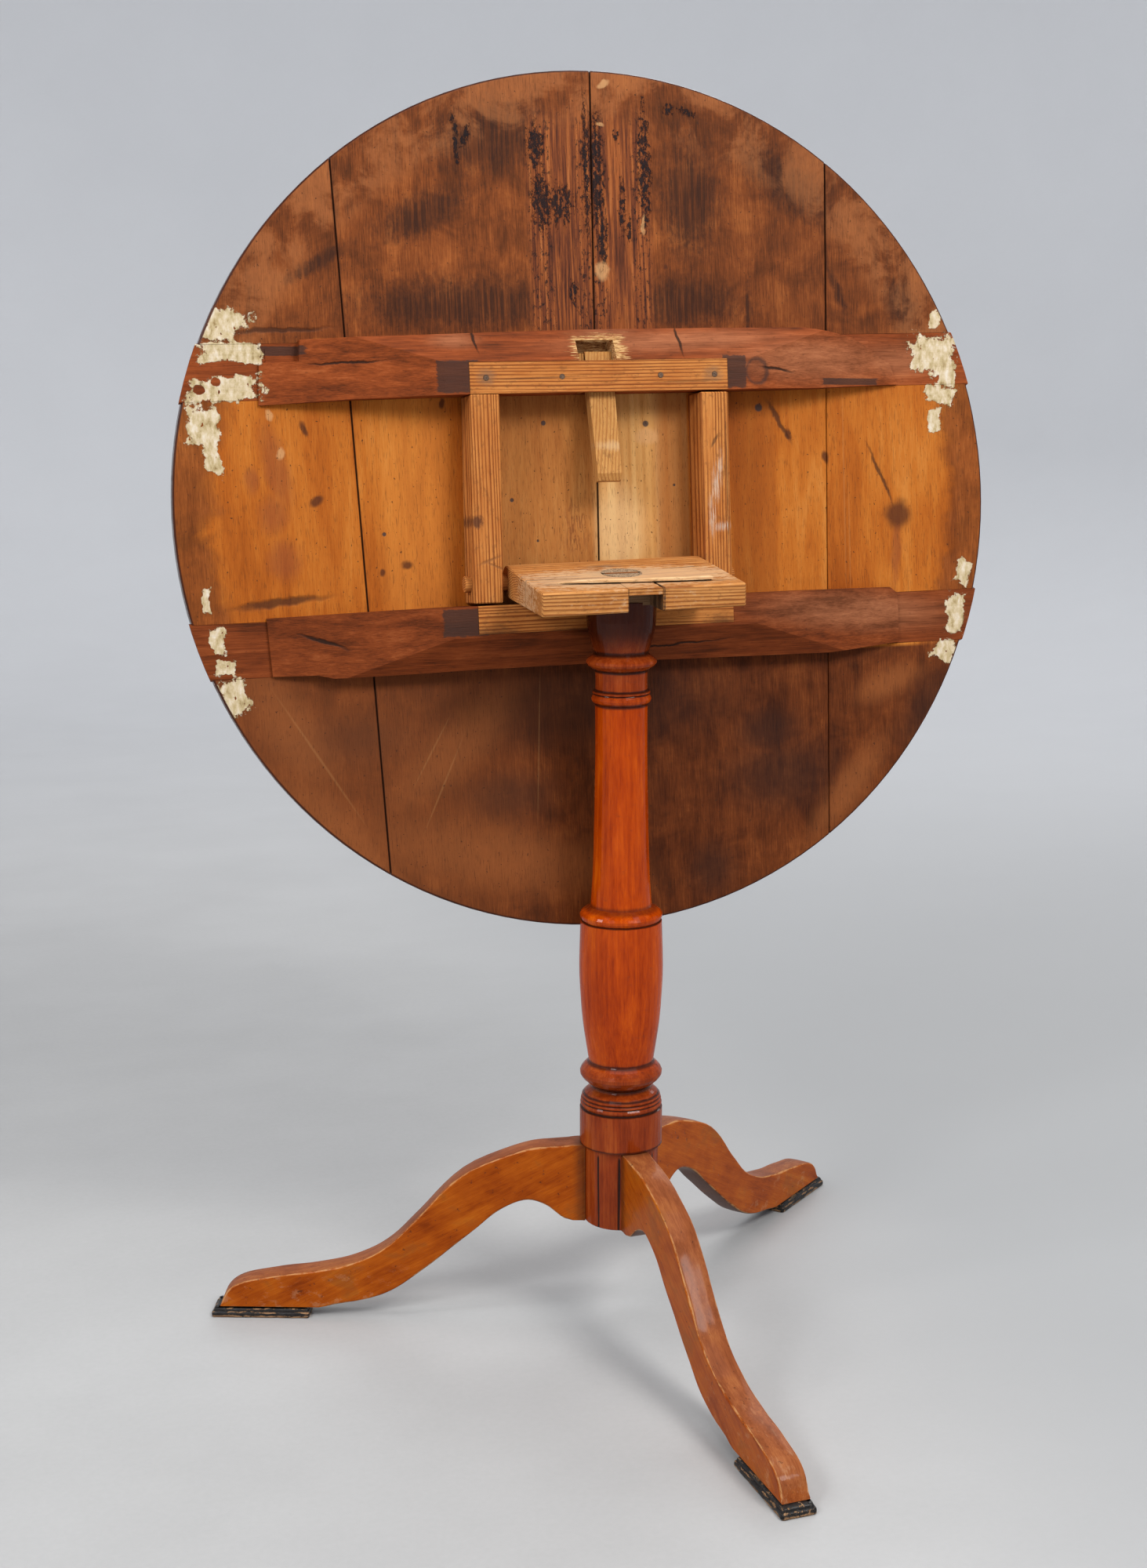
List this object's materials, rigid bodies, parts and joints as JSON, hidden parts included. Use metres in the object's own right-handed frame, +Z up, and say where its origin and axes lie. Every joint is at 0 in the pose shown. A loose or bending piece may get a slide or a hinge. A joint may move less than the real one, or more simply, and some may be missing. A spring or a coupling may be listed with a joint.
{
  "type": "tilt top table",
  "caption": "Round tilt top table on a turned pillar with curved legs, top tipped up on a wooden hinge with a sliding latch bar.",
  "frame": {"origin": "on the floor, under the middle of the bounding box", "axes": "+Z up; +X along the hinge of the top; the underside of the tipped top faces -Y, leaning back 6 degrees"},
  "size_m": [0.77, 0.6442, 1.138],
  "materials": {
    "board_wood": "worn stained boards",
    "batten_wood": "worn red-brown stain",
    "pine": "raw aged pine",
    "block_pine": "raw sawn pine",
    "peg_wood": "raw end grain",
    "pillar_wood": "glossy polish",
    "leg_wood": "satin polish",
    "black_paint": "black paint, worn at the edges"
  },
  "bodies": {
    "base": {"pillar": "pillar_wood", "pivot_block": "block_pine", "latch_keeper": "block_pine", "tenon_wedge": "block_pine", "leg_front": "leg_wood", "leg_left": "leg_wood", "leg_back": "leg_wood", "foot_pad_front": "black_paint", "foot_pad_left": "black_paint", "foot_pad_back": "black_paint"},
    "top": {"board_left_outer": "board_wood", "board_left_inner": "board_wood", "board_right_inner": "board_wood", "board_right_outer": "board_wood", "upper_batten": "batten_wood", "lower_batten": "batten_wood", "upper_rail": "pine", "lower_rail": "pine", "side_rail_left": "pine", "side_rail_right": "pine", "rail_peg_1": "peg_wood", "rail_peg_2": "peg_wood", "rail_peg_3": "peg_wood", "rail_peg_4": "peg_wood", "pivot_dowel_left": "pine", "pivot_dowel_right": "pine", "latch_packing_slip": "pine"},
    "latch": {"latch_bar": "pine"}
  },
  "joints": [
    {"name": "top_hinge", "type": "hinge", "parent": "base", "child": "top", "pos_m": [-0.006, 0.11434, 0.6911], "axis": [1, 0, 0], "range_deg": [0, 96]},
    {"name": "latch_slide", "type": "slide", "parent": "top", "child": "latch", "axis": [0, 0.2791, 0.9603], "range_m": [0, 0.03]}
  ]
}
